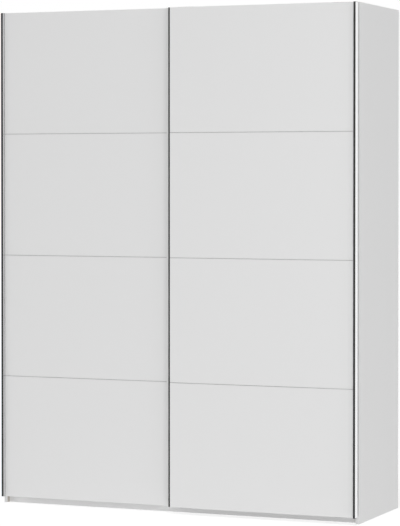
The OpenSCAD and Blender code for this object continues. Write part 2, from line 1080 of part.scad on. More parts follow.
front_door_hanger_arms();
front_door_wheel_carriers();
front_door_guide_plates();
front_door_guide_arms();
front_door_guide_shoes();
front_door_screws();
front_wheel_left();
front_wheel_right();
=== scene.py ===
import logging
import math
from dataclasses import dataclass, field, replace
from enum import Enum
from typing import Any, Callable, Iterable, Sequence

import bmesh
import bpy
from mathutils import Matrix, Vector


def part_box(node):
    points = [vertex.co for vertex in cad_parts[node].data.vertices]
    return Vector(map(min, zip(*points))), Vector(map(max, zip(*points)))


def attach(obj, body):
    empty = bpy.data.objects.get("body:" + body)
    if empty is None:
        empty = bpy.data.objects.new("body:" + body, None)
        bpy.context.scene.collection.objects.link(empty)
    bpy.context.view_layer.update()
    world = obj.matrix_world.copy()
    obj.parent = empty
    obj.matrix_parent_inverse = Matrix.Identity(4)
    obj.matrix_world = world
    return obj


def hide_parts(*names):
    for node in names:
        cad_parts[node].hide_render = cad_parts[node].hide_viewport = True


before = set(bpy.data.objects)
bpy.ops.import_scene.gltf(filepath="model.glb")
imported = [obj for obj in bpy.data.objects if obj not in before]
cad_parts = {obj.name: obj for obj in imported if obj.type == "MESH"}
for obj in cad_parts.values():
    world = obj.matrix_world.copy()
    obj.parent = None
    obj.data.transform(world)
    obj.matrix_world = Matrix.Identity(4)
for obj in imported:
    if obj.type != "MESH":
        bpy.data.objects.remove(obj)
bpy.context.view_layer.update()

# The looks of a tall wardrobe with two top-hung sliding doors, built around its CAD frame.
# Every size is in metres.  X runs along the front, Y to the wall and Z up.

log = logging.getLogger("wardrobe")

MM = 0.001

Colour = tuple[float, float, float]
Point = Vector | tuple[float, float, float]
Outline = Sequence[tuple[float, float]]
Chooser = Callable[[Vector, Vector], int]


# ---------------------------------------------------------------- shader desk


class Flow:
    """What comes out of a node socket, usable in sums."""

    def __init__(self, desk: "Desk", socket: bpy.types.NodeSocket) -> None:
        """Keeps the socket and the desk that its sums are written on."""
        self.desk = desk
        self.socket = socket

    def __add__(self, other: Any) -> "Flow":
        """This value plus another."""
        return self.desk.maths("ADD", self, other)

    def __radd__(self, other: Any) -> "Flow":
        """Another value plus this one."""
        return self.desk.maths("ADD", other, self)

    def __sub__(self, other: Any) -> "Flow":
        """This value less another."""
        return self.desk.maths("SUBTRACT", self, other)

    def __rsub__(self, other: Any) -> "Flow":
        """Another value less this one."""
        return self.desk.maths("SUBTRACT", other, self)

    def __mul__(self, other: Any) -> "Flow":
        """This value times another."""
        return self.desk.maths("MULTIPLY", self, other)

    def __rmul__(self, other: Any) -> "Flow":
        """Another value times this one."""
        return self.desk.maths("MULTIPLY", other, self)


@dataclass(frozen=True)
class Pattern:
    """A noise pattern in object space.

    The scale is in patches per metre.  The detail is the number of finer layers, and rough is
    their strength.  The stretch makes it finer along each axis, and the shift moves it.
    """

    scale: float
    detail: float = 2.0
    rough: float = 0.5
    stretch: tuple[float, float, float] = (1, 1, 1)
    shift: tuple[float, float, float] = (0, 0, 0)


@dataclass(frozen=True)
class Relief:
    """How a bump is made: how much of it counts, and the depth of a height of 1, in metres."""

    strength: float
    depth: float


class Desk:
    """Writes the nodes of one material or world."""

    def __init__(self, tree: bpy.types.NodeTree) -> None:
        """Empties the node tree and keeps it."""
        self.tree = tree
        tree.nodes.clear()

    def node(
        self,
        kind: str,
        settings: dict[str, Any] | None = None,
        sockets: dict[Any, Any] | None = None,
        out: Any = 0,
    ) -> Flow:
        """Adds one node.

        Args:
            kind: The node's type.
            settings: What is set on the node before its sockets, such as its operation.
            sockets: A value or a Flow for each input, by name or number.
            out: The output to hand back, by name or number.

        Returns:
            The chosen output.
        """
        made = self.tree.nodes.new(kind)
        for key, value in (settings or {}).items():
            setattr(made, key, value)
        for key, value in (sockets or {}).items():
            if isinstance(value, Flow):
                self.tree.links.new(value.socket, made.inputs[key])
            else:
                made.inputs[key].default_value = value
        return Flow(self, made.outputs[out] if len(made.outputs) else made.inputs[0])

    def maths(self, operation: str, a: Any, b: Any) -> Flow:
        """One Math node on two values."""
        return self.node("ShaderNodeMath", {"operation": operation}, {0: a, 1: b})

    def noise(self, pattern: Pattern) -> Flow:
        """Soft noise from 0 to 1.

        Args:
            pattern: Its scale, layers and stretch.

        Returns:
            The noise value.
        """
        here = self.node("ShaderNodeTexCoord", out="Object")
        where = self.node("ShaderNodeMapping", {}, {
            "Vector": here, "Scale": pattern.stretch, "Location": pattern.shift})
        return self.node("ShaderNodeTexNoise", {}, {
            "Vector": where, "Scale": pattern.scale, "Detail": pattern.detail,
            "Roughness": pattern.rough})

    @staticmethod
    def weigh(share: float, a: Flow, b: Flow) -> Flow:
        """Two values by weight: the share of the first, and the rest of the second."""
        return share * a + (1.0 - share) * b

    def spread(self, value: Flow, low: float, high: float,
               to: tuple[float, float] = (0.0, 1.0)) -> Flow:
        """Maps a value smoothly from one range to another.

        Args:
            value: What is mapped.
            low: Start of its range.
            high: End of its range.
            to: The new range.

        Returns:
            The mapped value.
        """
        return self.node("ShaderNodeMapRange", {"interpolation_type": "SMOOTHSTEP"}, {
            "Value": value, "From Min": low, "From Max": high, "To Min": to[0], "To Max": to[1]})

    def blend(self, share: Any, a: Any, b: Any) -> Flow:
        """A mix of two colours.

        Args:
            share: How much of the second colour shows.
            a: The first colour.
            b: The second colour.

        Returns:
            The mixed colour.
        """
        colours = {6: self.paint(a), 7: self.paint(b), 0: share}
        return self.node("ShaderNodeMix", {"data_type": "RGBA"}, colours, out=2)

    def bump(self, height: Flow, relief: Relief) -> Flow:
        """A bump from a height.

        Args:
            height: The height, from 0 to 1.
            relief: How strong and deep the bump is.

        Returns:
            The bent normal.
        """
        return self.node("ShaderNodeBump", {}, {
            "Height": height, "Strength": relief.strength, "Distance": relief.depth})

    @staticmethod
    def paint(colour: Any) -> Any:
        """A colour with its alpha, or a Flow as it is."""
        return colour if isinstance(colour, Flow) else (*colour, 1.0)


# ---------------------------------------------------------------- finishes


class Grain(Enum):
    """The axis that a drawn grain follows, as the pattern's stretch."""

    ALONG_X = (0.03, 1.0, 1.0)
    ALONG_Z = (1.0, 1.0, 0.03)


@dataclass(frozen=True)
class Finish:
    """A surface finish, made into a material once."""

    title: str

    def material(self) -> bpy.types.Material:
        """The finish as a material, made when it is first asked for.

        Returns:
            The material.
        """
        made = bpy.data.materials.get(self.title)
        if made is None:
            made = bpy.data.materials.new(self.title)
            made.use_nodes = True
            self.fill(Desk(made.node_tree))
        return made

    def fill(self, desk: Desk) -> None:
        """Writes the finish's nodes.

        Args:
            desk: The desk of the material.
        """
        raise NotImplementedError

    def surface(self, desk: Desk, **sockets: Any) -> None:
        """Ends a material in one Principled shader.

        Args:
            desk: The desk of the material.
            sockets: Values and links by socket name, with _ for a space.
        """
        named = {key.replace("_", " "): value for key, value in sockets.items()}
        shader = desk.node("ShaderNodeBsdfPrincipled", {}, named)
        desk.node("ShaderNodeOutputMaterial", {}, {"Surface": shader})


@dataclass(frozen=True)
class WhiteBoard(Finish):
    """White melamine with a faint pearl and a fine pressed texture."""

    title: str = "white_board"
    light: Colour = (0.695, 0.695, 0.695)
    shade: Colour = (0.675, 0.676, 0.678)
    gloss: float = 0.36
    specular: float = 0.42
    drift: Pattern = Pattern(1.6)
    drift_share: float = 0.6
    contrast: tuple[float, float] = (0.3, 0.7)
    speck: Pattern = Pattern(420.0, 3.0, 0.6)
    speck_gloss: float = 0.05
    wipe: Pattern = Pattern(9.0, 3.0, 0.6, (1.0, 1.0, 0.25))
    wipe_gloss: float = 0.07
    peel: Pattern = Pattern(260.0, rough=0.55)
    peel_relief: Relief = Relief(0.22, 0.12 * MM)

    def fill(self, desk: Desk) -> None:
        """Writes a slow tone drift, a fine speckle and an orange-peel bump.

        Args:
            desk: The desk of the material.
        """
        speck, wipe = desk.noise(self.speck), desk.noise(self.wipe)
        tone = desk.weigh(self.drift_share, desk.noise(self.drift), speck)
        colour = desk.blend(desk.spread(tone, *self.contrast), self.light, self.shade)
        rough = self.gloss + self.wipe_gloss * (wipe - 0.5) + self.speck_gloss * (speck - 0.5)
        self.surface(desk, Base_Color=colour, Roughness=rough, Specular_IOR_Level=self.specular,
                     Normal=desk.bump(desk.noise(self.peel), self.peel_relief))


@dataclass(frozen=True)
class LinenBoard(Finish):
    """Linen-effect melamine: crossed threads of two tones, pressed into the board."""

    title: str = "linen_board"
    warp: Colour = (0.50, 0.455, 0.395)
    weft: Colour = (0.36, 0.322, 0.275)
    specular: float = 0.35
    across: float = 900.0
    along: float = 14.0
    thread: Pattern = Pattern(1.0, rough=0.6)
    shift_y: tuple[float, float, float] = (3.1, 0, 0)
    shift_z: tuple[float, float, float] = (0, 5.7, 0)
    thread_weight: float = 0.3333
    thread_relief: Relief = Relief(0.5, 0.4 * MM)
    drift: Pattern = Pattern(2.4)
    drift_weight: float = 0.12
    contrast: tuple[float, float] = (0.38, 0.62)
    gloss: float = 0.50
    thread_gloss: float = 0.16

    def fill(self, desk: Desk) -> None:
        """Writes threads along all three axes, so that each face shows two sets of them.

        Args:
            desk: The desk of the material.
        """
        fine, run = self.across, self.along
        along_x = desk.noise(replace(self.thread, stretch=(run, fine, fine)))
        along_y = desk.noise(replace(self.thread, stretch=(fine, run, fine), shift=self.shift_y))
        along_z = desk.noise(replace(self.thread, stretch=(fine, fine, run), shift=self.shift_z))
        cloth = (along_x + along_y + along_z) * self.thread_weight
        drift = desk.noise(self.drift)
        share = desk.spread(cloth + self.drift_weight * (drift - 0.5), *self.contrast)
        self.surface(desk, Base_Color=desk.blend(share, self.weft, self.warp),
                     Roughness=self.gloss + self.thread_gloss * cloth,
                     Specular_IOR_Level=self.specular,
                     Normal=desk.bump(cloth, self.thread_relief))


@dataclass(frozen=True)
class RawHardboard(Finish):
    """The unpainted rear of a hardboard panel, brown with short fibres."""

    title: str = "raw_hardboard"
    light: Colour = (0.40, 0.29, 0.185)
    dark: Colour = (0.27, 0.185, 0.113)
    gloss: float = 0.72
    fleck: Pattern = Pattern(330.0, 4.0, 0.7, (1.0, 1.0, 2.5))
    fleck_share: float = 0.8
    fleck_gloss: float = 0.2
    fleck_relief: Relief = Relief(0.35, 0.3 * MM)
    cloud: Pattern = Pattern(7.0, 3.0, 0.6)
    contrast: tuple[float, float] = (0.3, 0.7)

    def fill(self, desk: Desk) -> None:
        """Writes fibre flecks over cloudy patches.

        Args:
            desk: The desk of the material.
        """
        flecks = desk.noise(self.fleck)
        tone = desk.weigh(self.fleck_share, flecks, desk.noise(self.cloud))
        colour = desk.blend(desk.spread(tone, *self.contrast), self.dark, self.light)
        self.surface(desk, Base_Color=colour, Roughness=self.gloss + self.fleck_gloss * flecks,
                     Normal=desk.bump(flecks, self.fleck_relief))


@dataclass(frozen=True)
class SatinAluminium(Finish):
    """Anodised aluminium with the fine drawn lines of an extrusion."""

    title: str = "satin_aluminium"
    light: Colour = (0.93, 0.935, 0.94)
    shade: Colour = (0.86, 0.865, 0.87)
    gloss: float = 0.2
    grain: Grain = Grain.ALONG_Z
    line: Pattern = Pattern(1500.0, 3.0, 0.65)
    line_share: float = 0.7
    line_gloss: float = 0.12
    line_relief: Relief = Relief(0.12, 0.06 * MM)
    drift: Pattern = Pattern(5.0)
    drift_gloss: float = 0.05
    contrast: tuple[float, float] = (0.3, 0.7)

    def fill(self, desk: Desk) -> None:
        """Writes drawn lines along the profile and a slow drift across it.

        Args:
            desk: The desk of the material.
        """
        lines = desk.noise(replace(self.line, stretch=self.grain.value))
        drift = desk.noise(self.drift)
        share = desk.spread(desk.weigh(self.line_share, lines, drift), *self.contrast)
        rough = self.gloss + self.line_gloss * (lines - 0.5) + self.drift_gloss * (drift - 0.5)
        self.surface(desk, Base_Color=desk.blend(share, self.shade, self.light), Metallic=1.0,
                     Roughness=rough, Normal=desk.bump(lines, self.line_relief))


@dataclass(frozen=True)
class ZincSteel(Finish):
    """Zinc-plated sheet with a soft crystal pattern."""

    title: str = "zinc_steel"
    light: Colour = (0.66, 0.67, 0.69)
    shade: Colour = (0.50, 0.51, 0.54)
    gloss: float = 0.30
    crystal_scale: float = 160.0
    crystal_share: float = 0.6
    crystal_gloss: float = 0.05
    wear: Pattern = Pattern(60.0, 3.0, 0.6)
    wear_gloss: float = 0.14
    wear_relief: Relief = Relief(0.15, 0.1 * MM)
    contrast: tuple[float, float] = (0.2, 0.8)

    def fill(self, desk: Desk) -> None:
        """Writes crystals of slightly different tone and gloss.

        Args:
            desk: The desk of the material.
        """
        here = desk.node("ShaderNodeTexCoord", out="Object")
        crystals = desk.node("ShaderNodeTexVoronoi", {},
                             {"Vector": here, "Scale": self.crystal_scale}, out="Color")
        tone = desk.node("ShaderNodeSeparateColor", {}, {0: crystals}, out=0)
        wear = desk.noise(self.wear)
        share = desk.spread(desk.weigh(self.crystal_share, tone, wear), *self.contrast)
        self.surface(desk, Base_Color=desk.blend(share, self.shade, self.light), Metallic=1.0,
                     Roughness=self.gloss + self.wear_gloss * wear + self.crystal_gloss * tone,
                     Normal=desk.bump(wear, self.wear_relief))


@dataclass(frozen=True)
class Moulded(Finish):
    """Moulded plastic or rubber with a fine eroded texture."""

    title: str = "moulded_nylon"
    light: Colour = (0.78, 0.78, 0.76)
    shade: Colour = (0.68, 0.68, 0.655)
    gloss: float = 0.42
    bite: float = 0.25
    depth: float = 0.1 * MM
    grain: Pattern = Pattern(800.0)
    grain_share: float = 0.5
    grain_gloss: float = 0.12
    drift: Pattern = Pattern(40.0)
    contrast: tuple[float, float] = (0.35, 0.65)

    def fill(self, desk: Desk) -> None:
        """Writes a fine grain over slow tone changes.

        Args:
            desk: The desk of the material.
        """
        grain = desk.noise(self.grain)
        tone = desk.weigh(self.grain_share, grain, desk.noise(self.drift))
        colour = desk.blend(desk.spread(tone, *self.contrast), self.shade, self.light)
        self.surface(desk, Base_Color=colour,
                     Roughness=self.gloss + self.grain_gloss * (grain - 0.5),
                     Normal=desk.bump(grain, Relief(self.bite, self.depth)))


@dataclass(frozen=True)
class BrushPile(Finish):
    """Short grey pile of a dust brush, with bristles that stand along Y."""

    title: str = "brush_pile"
    light: Colour = (0.42, 0.42, 0.43)
    dark: Colour = (0.16, 0.16, 0.17)
    gloss: float = 0.85
    bristle: Pattern = Pattern(2600.0, rough=0.7, stretch=(1.0, 0.05, 1.0))
    bristle_gloss: float = 0.1
    bristle_relief: Relief = Relief(0.8, 0.6 * MM)
    contrast: tuple[float, float] = (0.3, 0.7)

    def fill(self, desk: Desk) -> None:
        """Writes the bristles.

        Args:
            desk: The desk of the material.
        """
        bristles = desk.noise(self.bristle)
        share = desk.spread(bristles, *self.contrast)
        self.surface(desk, Base_Color=desk.blend(share, self.dark, self.light),
                     Roughness=self.gloss + self.bristle_gloss * bristles,
                     Normal=desk.bump(bristles, self.bristle_relief))


@dataclass(frozen=True)
class PaleFloor(Finish):
    """A plain pale studio floor."""

    title: str = "pale_floor"
    tone: float = 0.34
    tone_drift: float = 0.01
    glow: float = 0.79
    gloss: float = 0.9
    cloud: Pattern = Pattern(0.8)
    cloud_gloss: float = 0.05
    specular: float = 0.1

    def fill(self, desk: Desk) -> None:
        """Writes a matt, almost even white, lit from below like a light table.

        Args:
            desk: The desk of the material.
        """
        cloud = desk.noise(self.cloud)
        low, high = self.tone - self.tone_drift, self.tone
        self.surface(desk, Base_Color=desk.blend(cloud, (low, low, low), (high, high, high)),
                     Roughness=self.gloss + self.cloud_gloss * cloud,
                     Specular_IOR_Level=self.specular,
                     Emission_Color=(1.0, 1.0, 1.0, 1.0), Emission_Strength=self.glow)


WHITE = WhiteBoard()
LINEN = LinenBoard()
HARDBOARD = RawHardboard()
ALU_UP = SatinAluminium()
ALU_ACROSS = SatinAluminium("satin_aluminium_across", grain=Grain.ALONG_X)
JOINT_GREY = Moulded("joint_grey", (0.62, 0.62, 0.62), (0.56, 0.56, 0.565), 0.5, 0.1)
TUBE = SatinAluminium("brushed_tube", (0.72, 0.72, 0.73), (0.6, 0.6, 0.61), 0.2, Grain.ALONG_X)
ZINC = ZincSteel()
NYLON = Moulded()
WHITE_PLASTIC = Moulded("white_plastic", (0.80, 0.80, 0.795), (0.76, 0.76, 0.755), 0.38, 0.15)
RUBBER = Moulded("stop_rubber", (0.045, 0.045, 0.047), (0.025, 0.025, 0.026), 0.62, 0.5)
CAP_GREY = Moulded("cap_grey", (0.13, 0.13, 0.135), (0.10, 0.10, 0.103), 0.45, 0.2)
PILE = BrushPile()


# ---------------------------------------------------------------- meshes


WELD = 0.001 * MM
SHARP_CORNER = math.radians(40)
SHARP_SHADING = math.radians(35)
Z_TO_X = Matrix(((0, 0, 1, 0), (1, 0, 0, 0), (0, 1, 0, 0), (0, 0, 0, 1)))


def circle(count: int) -> list[float]:
    """The angles of points spaced evenly round a circle."""
    return [2 * math.pi * i / count for i in range(count)]


def spin_point(x: float, y: float, angle: float) -> tuple[float, float]:
    """A point turned about the origin."""
    return x * math.cos(angle) - y * math.sin(angle), x * math.sin(angle) + y * math.cos(angle)


def solids(node: str) -> list[tuple[Vector, Vector]]:
    """Measures each separate solid of a CAD node.

    Args:
        node: The CAD node.

    Returns:
        The lowest and highest corner of each solid, from left to right.
    """
    bm = bmesh.new()
    bm.from_mesh(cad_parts[node].data)
    bmesh.ops.remove_doubles(bm, verts=bm.verts, dist=WELD)
    left, boxes = set(bm.verts), []
    while left:
        group = [left.pop()]
        for vert in group:
            for edge in vert.link_edges:
                other = edge.other_vert(vert)
                if other in left:
                    left.remove(other)
                    group.append(other)
        low, high = (Vector([pick(v.co[i] for v in group) for i in range(3)])
                     for pick in (min, max))
        boxes.append((low, high))
    bm.free()
    return sorted(boxes, key=lambda box: tuple(round(c, 5) for c in box[0]))


@dataclass(frozen=True)
class DriveHead:
    """A flat round screw head or cam face with a cross recess.

    The arm and slot are the half length and half width of the cross, as shares of the radius.
    The depth is a share of the thickness, and the shank is a share of the radius.
    """

    radius: float
    thick: float
    arm: float = 0.62
    slot: float = 0.15
    depth: float = 0.6
    shank: float = 0.5
    facets: int = 24

    def rim(self, share: float = 1.0) -> list[tuple[float, float]]:
        """The points of a circle of a share of the radius."""
        return [(share * self.radius * math.cos(a), share * self.radius * math.sin(a))
                for a in circle(self.facets)]

    def cross(self) -> list[tuple[float, float]]:
        """Draws the cross recess.

        Returns:
            Its outline.
        """
        arm, slot = self.arm * self.radius, self.slot * self.radius
        corners = ((arm, -slot), (arm, slot), (slot, slot))
        return [spin_point(x, y, turn) for turn in circle(4) for x, y in corners]


class Workpiece:
    """A mesh being shaped, which then becomes a piece of the wardrobe."""

    def __init__(self) -> None:
        """Starts with nothing."""
        self.bm = bmesh.new()

    def block(self, low: Point, high: Point, edge: float, steps: int = 2) -> None:
        """Adds a block with rounded edges.

        Args:
            low: Its lowest corner.
            high: Its highest corner.
            edge: Radius of the edges.
            steps: Facets of a rounded edge.
        """
        low, high = Vector(low), Vector(high)
        verts = bmesh.ops.create_cube(self.bm, size=1.0)["verts"]
        bmesh.ops.scale(self.bm, vec=high - low, verts=verts)
        bmesh.ops.translate(self.bm, vec=(low + high) / 2, verts=verts)
        self.round_off({e for v in verts for e in v.link_edges}, edge, steps)

    def round_off(self, edges: Iterable[bmesh.types.BMEdge], radius: float, steps: int) -> None:
        """Rounds edges off.

        Args:
            edges: The edges.
            radius: Their radius.
            steps: Facets of a rounded edge.
        """
        bmesh.ops.bevel(self.bm, geom=list(edges), offset=radius, offset_type="OFFSET",
                        segments=steps, profile=0.5, affect="EDGES", clamp_overlap=True,
                        material=-1)

    def loop(self, outline: Outline, z: float) -> list[bmesh.types.BMEdge]:
        """Draws a closed outline at height z and returns its edges."""
        verts = [self.bm.verts.new((x, y, z)) for x, y in outline]
        return [self.bm.edges.new((a, b)) for a, b in zip(verts, verts[1:] + verts[:1])]

    def extrude(self, outer: Outline, holes: Sequence[Outline], z0: float, z1: float,
                edge: float = 0.0, steps: int = 3) -> None:
        """Adds an upright extrusion.

        Args:
            outer: The section's outline, as x and y.
            holes: Outlines of the hollows in it.
            z0: Lower end.
            z1: Upper end.
            edge: Radius of the long edges of the outline, or 0 to leave them sharp.
            steps: Facets of a rounded edge.
        """
        before = set(self.bm.edges)
        rim = self.loop(outer, z0)
        corners = {v for e in rim for v in e.verts}
        for hole in holes:
            rim = rim + self.loop(hole, z0)
        section = bmesh.ops.triangle_fill(self.bm, use_beauty=True, use_dissolve=True, edges=rim)
        faces = [g for g in section["geom"] if isinstance(g, bmesh.types.BMFace)]
        grown = bmesh.ops.extrude_face_region(self.bm, geom=faces, use_keep_orig=True)
        moved = [g for g in grown["geom"] if isinstance(g, bmesh.types.BMVert)]
        bmesh.ops.translate(self.bm, vec=(0, 0, z1 - z0), verts=moved)
        new = [e for e in self.bm.edges if e not in before]
        bmesh.ops.recalc_face_normals(self.bm, faces=list({f for e in new for f in e.link_faces}))
        if edge > 0:
            rises = [e for e in new if abs(e.verts[0].co.z - e.verts[1].co.z) > (z1 - z0) / 2
                     and (e.verts[0] in corners or e.verts[1] in corners)]
            self.round_off(rises, edge, steps)

    def lay(self, outer: Outline, x0: float, x1: float, edge: float, steps: int = 3) -> None:
        """Adds a lying extrusion along X with all its edges rounded.

        Args:
            outer: The section's outline, as y and z.
            x0: Left end.
            x1: Right end.
            edge: Radius of the edges.
            steps: Facets of a rounded edge.
        """
        before = set(self.bm.verts)
        self.extrude(outer, [], x0, x1)
        new = [v for v in self.bm.verts if v not in before]
        bmesh.ops.transform(self.bm, matrix=Z_TO_X, verts=new)
        edges = {e for v in new for e in v.link_edges}
        sharp = [e for e in edges if e.calc_face_angle(0.0) > SHARP_CORNER]
        self.round_off(sharp, edge, steps)

    def drive_head(self, head: DriveHead, top: Vector, out: Vector, length: float = 0.0) -> None:
        """Adds a flat round head with a cross recess, and its shank.

        Args:
            head: Its shape.
            top: Centre of its outer face.
            out: The way that the face looks.
            length: Length over head and shank, where it has one.
        """
        depth = head.depth * head.thick
        before = set(self.bm.verts)
        self.extrude(head.rim(), [head.cross()], -depth, 0.0)
        self.extrude(head.rim(), [], -head.thick, -depth)
        if length > head.thick:
            self.extrude(head.rim(head.shank), [], -length, -head.thick)
        new = [v for v in self.bm.verts if v not in before]
        turn = Vector(out).to_track_quat("Z", "Y").to_matrix().to_4x4()
        bmesh.ops.transform(self.bm, matrix=Matrix.Translation(top) @ turn, verts=new)

    def turn(self, section: Outline, centre: Point, steps: int = 48) -> None:
        """Adds a part turned about an axis along X.

        Args:
            section: Closed outline as (distance along the axis, radius), radius above 0.
            centre: A point on the axis.
            steps: Facets round the axis.
        """
        axis, side, centre = Vector((1, 0, 0)), Vector((0, 0, 1)), Vector(centre)
        verts = [self.bm.verts.new(centre + axis * a + side * r) for a, r in section]
        edges = [self.bm.edges.new((a, b)) for a, b in zip(verts, verts[1:] + verts[:1])]
        before = set(self.bm.faces)
        bmesh.ops.spin(self.bm, geom=verts + edges, cent=centre, axis=axis, angle=2 * math.pi,
                       steps=steps, use_merge=True)
        new = [f for f in self.bm.faces if f not in before]
        bmesh.ops.remove_doubles(self.bm, verts=list({v for f in new for v in f.verts}), dist=WELD)
        new = [f for f in self.bm.faces if f not in before]
        bmesh.ops.recalc_face_normals(self.bm, faces=new)
        for face in new:
            face.smooth = True

    def done(self, name: str, body: str, finishes: Sequence[Finish],
             nodes: Sequence[str] = (), choose: Chooser | None = None) -> None:
        """Turns the mesh into a piece that rides on a body.

        Args:
            name: The piece's name.
            body: The body that it rides on.
            finishes: Its finishes.
            nodes: The CAD nodes that it stands for.
            choose: Picks a finish from a face's normal and centre.
        """
        if choose:
            for face in self.bm.faces:
                face.material_index = choose(face.normal, face.calc_center_median())
        mesh = bpy.data.meshes.new(name)
        self.bm.to_mesh(mesh)
        self.bm.free()
        if any(p.use_smooth for p in mesh.polygons):
            mesh.set_sharp_from_angle(angle=SHARP_SHADING)
        for finish in finishes:
            mesh.materials.append(finish.material())
        piece = bpy.data.objects.new(name, mesh)
        bpy.context.scene.collection.objects.link(piece)
        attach(piece, body)
        if nodes:
            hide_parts(*nodes)
        log.info("%s rides on %s", name, body)


def dress(node: str, finish: Finish) -> None:
    """Gives a CAD node, whose shape stays, a finish.

    Args:
        node: The CAD node.
        finish: Its finish.
    """
    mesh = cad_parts[node].data
    mesh.materials.clear()
    mesh.materials.append(finish.material())
    log.info("%s keeps its shape", node)


def screws(node: str, body: str, out: Vector, head_thick: float = 1.2 * MM) -> None:
    """Replaces a group of flat-headed screws by heads with a cross recess and their shanks.

    Args:
        node: The CAD node.
        body: The body that they ride on.
        out: The way that the heads look.
        head_thick: Thickness of a head.
    """
    work = Workpiece()
    for low, high in solids(node):
        length = (high - low).dot(out)
        head = DriveHead((high.x - low.x) / 2, head_thick)
        work.drive_head(head, (low + high) / 2 + out * length / 2, out, length)
    work.done(node + "_heads", body, (ZINC,), [node])


# ---------------------------------------------------------------- carcass


@dataclass
class Carcass:
    """The boards that make the box: sides, top, bottom, centre wall and plinths."""

    body: str = "carcass"
    edge: float = 0.6 * MM
    facing: float = 0.9

    def board(self, node: str, finishes: Sequence[Finish],
              choose: Chooser | None = None) -> None:
        """Replaces one board by a block with softened edges.

        Args:
            node: The CAD node.
            finishes: Its finishes.
            choose: Picks a finish for each face.
        """
        low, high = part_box(node)
        work = Workpiece()
        work.block(low, high, self.edge)
        work.done(node + "_board", self.body, finishes, [node], choose)

    def build(self) -> None:
        """Builds all the boards."""
        self.board("side_panel_left", (WHITE, LINEN),
                   lambda normal, centre: int(normal.x > self.facing))
        self.board("side_panel_right", (WHITE, LINEN),
                   lambda normal, centre: int(normal.x < -self.facing))
        for node in ("plinth_front", "plinth_rear"):
            self.board(node, (WHITE,))
        for node in ("centre_partition", "top_panel", "bottom_panel"):
            self.board(node, (LINEN,))


@dataclass
class Back:
    """The back panels and the strip that joins them."""

    body: str = "carcass"
    edge: float = 0.2 * MM
    facing: float = 0.5

    def build(self) -> None:
        """Builds the panels, linen inside and raw outside."""
        for node in ("back_panel_left", "back_panel_right"):
            low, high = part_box(node)
            work = Workpiece()
            work.block(low, high, self.edge, 1)
            work.done(node + "_sheet", self.body, (LINEN, HARDBOARD), [node],
                      lambda normal, centre: int(normal.y > self.facing))
        dress("back_joint_strip", WHITE_PLASTIC)


@dataclass
class Interior:
    """Hat shelves, clothes rails and what holds them."""

    body: str = "carcass"
    edge: float = 0.6 * MM
    wall: float = 1.2 * MM

    def build(self) -> None:
        """Builds the shelves and rails."""
        for side in ("left", "right"):
            low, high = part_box("hat_shelf_" + side)
            work = Workpiece()
            work.block(low, high, self.edge)
            work.done(f"hat_shelf_{side}_board", self.body, (LINEN,),
                      ["hat_shelf_" + side])
            self.rail(side)
        dress("rail_sockets", ZINC)
        dress("shelf_pins", ZINC)

    def rail(self, side: str) -> None:
        """Turns one clothes rail as a tube.

        Args:
            side: Its bay, left or right.
        """
        node = "clothes_rail_" + side
        low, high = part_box(node)
        radius = (high.z - low.z) / 2
        length = high.x - low.x
        inner = radius - self.wall
        section = [(0, inner), (length, inner), (length, radius), (0, radius)]
        work = Workpiece()
        work.turn(section, (low.x, (low.y + high.y) / 2, (low.z + high.z) / 2))
        work.done(node + "_tube", self.body, (TUBE,), [node])


@dataclass
class RunningGear:
    """The rail, the stops, the bottom channel and the fittings of the carcass."""

    body: str = "carcass"
    cam_lift: float = 0.3 * MM
    cam_show: float = 3 * MM

    def build(self) -> None:
        """Dresses the rail, channel and fittings."""
        dress("running_rail", ALU_ACROSS)
        dress("guide_channel", ALU_ACROSS)
        dress("end_stops", RUBBER)
        dress("wall_brackets", ZINC)
        dress("floor_glides", NYLON)
        self.cams()
        screws("carcass_screws", self.body, Vector((0, 0, 1)))

    def cams(self) -> None:
        """Turns the cam housings, each with a cross recess in the face that shows."""
        work = Workpiece()
        middle = sum(corner.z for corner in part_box("cam_fittings")) / 2
        for low, high in solids("cam_fittings"):
            face = (low + high) / 2
            up = 1 if face.z > middle else -1
            face.z = (high.z if up > 0 else low.z) + up * self.cam_lift
            head = DriveHead((high.x - low.x) / 2, self.cam_show)
            work.drive_head(head, face, Vector((0, 0, up)))
        work.done("cam_housings", self.body, (ZINC,), ["cam_fittings"])


# ---------------------------------------------------------------- doors


class Door(Enum):
    """The two doors, by the way from the grip to the inner end."""

    REAR = 1
    FRONT = -1


